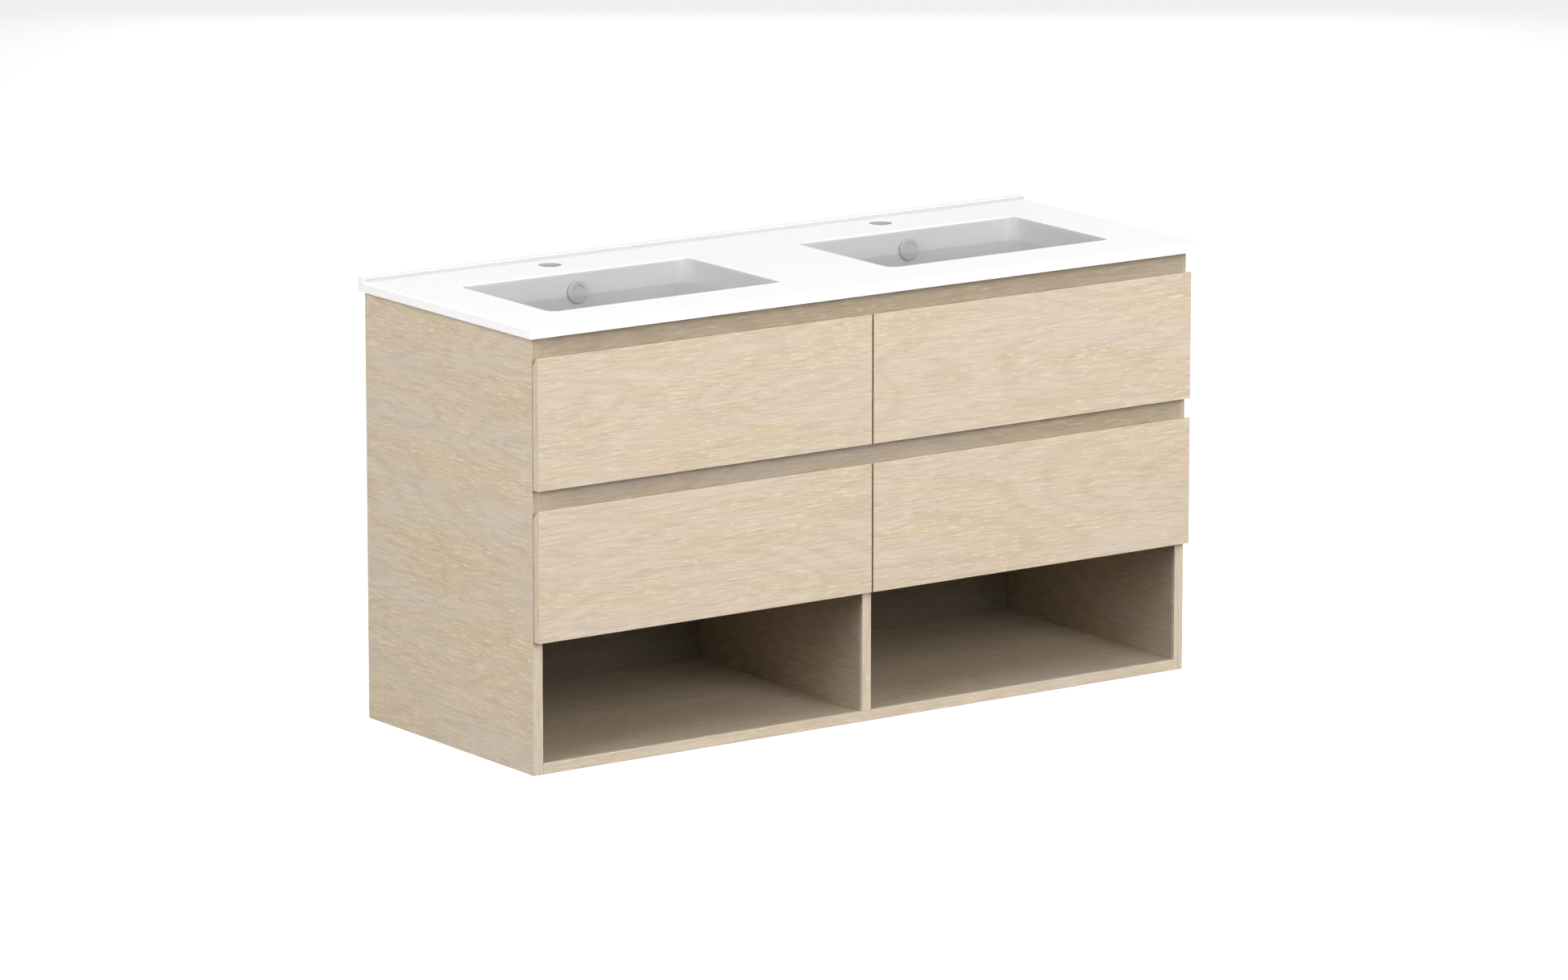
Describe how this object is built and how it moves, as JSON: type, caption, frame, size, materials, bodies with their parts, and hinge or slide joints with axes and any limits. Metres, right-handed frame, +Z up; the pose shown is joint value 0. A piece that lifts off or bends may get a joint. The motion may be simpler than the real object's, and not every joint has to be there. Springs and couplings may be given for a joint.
{
  "type": "bathroom vanity cabinet",
  "caption": "Wall-hung double-bowl bathroom vanity: ceramic top, oak laminate carcass, sliding drawers with finger gaps and open niches below.",
  "frame": {"origin": "middle of the footprint, on the underside", "axes": "+Z up, +Y towards the wall, +X to the right for someone facing it; the drawers open towards -Y"},
  "size_m": [1.2, 0.458, 0.663],
  "materials": {
    "oak_laminate": "light oak woodgrain laminate, matt, fine grain relief",
    "white_melamine": "white melamine faced board, matt",
    "glazed_ceramic": "white gloss glaze",
    "overflow_cover": "white gloss moulding",
    "chrome": "bright chrome plating",
    "brass_nut": "machined brass",
    "runner_steel": "zinc plated rolled steel",
    "zinc": "die-cast zinc",
    "white_plastic": "white moulded plastic",
    "rubber": "black rubber"
  },
  "bodies": {
    "cabinet": {"side_panel_left": "oak_laminate", "side_panel_right": "oak_laminate", "bottom_panel": "oak_laminate", "drawer_shelf": "oak_laminate", "lower_divider": "oak_laminate", "upper_divider": "oak_laminate", "niche_back_left": "oak_laminate", "niche_back_right": "oak_laminate", "top_rail": "oak_laminate", "middle_rail": "oak_laminate", "upper_rear_rail": "oak_laminate", "lower_rear_rail": "oak_laminate", "cam_locks": "zinc", "cam_bolts": "zinc", "basin_top": "glazed_ceramic", "overflow_cover_left": "overflow_cover", "overflow_cover_right": "overflow_cover", "waste_body_left": "chrome", "waste_body_right": "chrome", "waste_gaskets": "rubber", "waste_nuts": "brass_nut", "upper_left_cabinet_runner": "runner_steel", "upper_right_cabinet_runner": "runner_steel", "lower_left_cabinet_runner": "runner_steel", "lower_right_cabinet_runner": "runner_steel"},
    "upper_left_drawer": {"upper_left_front": "oak_laminate", "upper_left_side_left": "white_melamine", "upper_left_side_right": "white_melamine", "upper_left_base": "white_melamine", "upper_left_back_left": "white_melamine", "upper_left_back_right": "white_melamine", "upper_left_trap_liner": "white_plastic", "upper_left_drawer_runner": "runner_steel"},
    "upper_left_slide": {"upper_left_middle_runner": "runner_steel"},
    "upper_right_drawer": {"upper_right_front": "oak_laminate", "upper_right_side_left": "white_melamine", "upper_right_side_right": "white_melamine", "upper_right_base": "white_melamine", "upper_right_back_left": "white_melamine", "upper_right_back_right": "white_melamine", "upper_right_trap_liner": "white_plastic", "upper_right_drawer_runner": "runner_steel"},
    "upper_right_slide": {"upper_right_middle_runner": "runner_steel"},
    "lower_left_drawer": {"lower_left_front": "oak_laminate", "lower_left_side_left": "white_melamine", "lower_left_side_right": "white_melamine", "lower_left_base": "white_melamine", "lower_left_back": "white_melamine", "lower_left_drawer_runner": "runner_steel"},
    "lower_left_slide": {"lower_left_middle_runner": "runner_steel"},
    "lower_right_drawer": {"lower_right_front": "oak_laminate", "lower_right_side_left": "white_melamine", "lower_right_side_right": "white_melamine", "lower_right_base": "white_melamine", "lower_right_back": "white_melamine", "lower_right_drawer_runner": "runner_steel"},
    "lower_right_slide": {"lower_right_middle_runner": "runner_steel"},
    "plug_left": {"waste_plug_left": "chrome"},
    "plug_right": {"waste_plug_right": "chrome"}
  },
  "joints": [
    {"name": "upper_left_drawer_slide", "type": "slide", "parent": "cabinet", "child": "upper_left_drawer", "axis": [0, -1, 0], "range_m": [0, 0.35]},
    {"name": "upper_left_runner_slide", "type": "slide", "parent": "cabinet", "child": "upper_left_slide", "axis": [0, -1, 0], "range_m": [0, 0.175]},
    {"name": "upper_right_drawer_slide", "type": "slide", "parent": "cabinet", "child": "upper_right_drawer", "axis": [0, -1, 0], "range_m": [0, 0.35]},
    {"name": "upper_right_runner_slide", "type": "slide", "parent": "cabinet", "child": "upper_right_slide", "axis": [0, -1, 0], "range_m": [0, 0.175]},
    {"name": "lower_left_drawer_slide", "type": "slide", "parent": "cabinet", "child": "lower_left_drawer", "axis": [0, -1, 0], "range_m": [0, 0.35]},
    {"name": "lower_left_runner_slide", "type": "slide", "parent": "cabinet", "child": "lower_left_slide", "axis": [0, -1, 0], "range_m": [0, 0.175]},
    {"name": "lower_right_drawer_slide", "type": "slide", "parent": "cabinet", "child": "lower_right_drawer", "axis": [0, -1, 0], "range_m": [0, 0.35]},
    {"name": "lower_right_runner_slide", "type": "slide", "parent": "cabinet", "child": "lower_right_slide", "axis": [0, -1, 0], "range_m": [0, 0.175]},
    {"name": "plug_left_lift", "type": "slide", "parent": "cabinet", "child": "plug_left", "axis": [0, 0, 1], "range_m": [0, 0.008]},
    {"name": "plug_right_lift", "type": "slide", "parent": "cabinet", "child": "plug_right", "axis": [0, 0, 1], "range_m": [0, 0.008]}
  ],
  "couplings": [
    {"joint": "upper_left_runner_slide", "follows": "upper_left_drawer_slide", "ratio": 0.5},
    {"joint": "upper_right_runner_slide", "follows": "upper_right_drawer_slide", "ratio": 0.5},
    {"joint": "lower_left_runner_slide", "follows": "lower_left_drawer_slide", "ratio": 0.5},
    {"joint": "lower_right_runner_slide", "follows": "lower_right_drawer_slide", "ratio": 0.5}
  ]
}
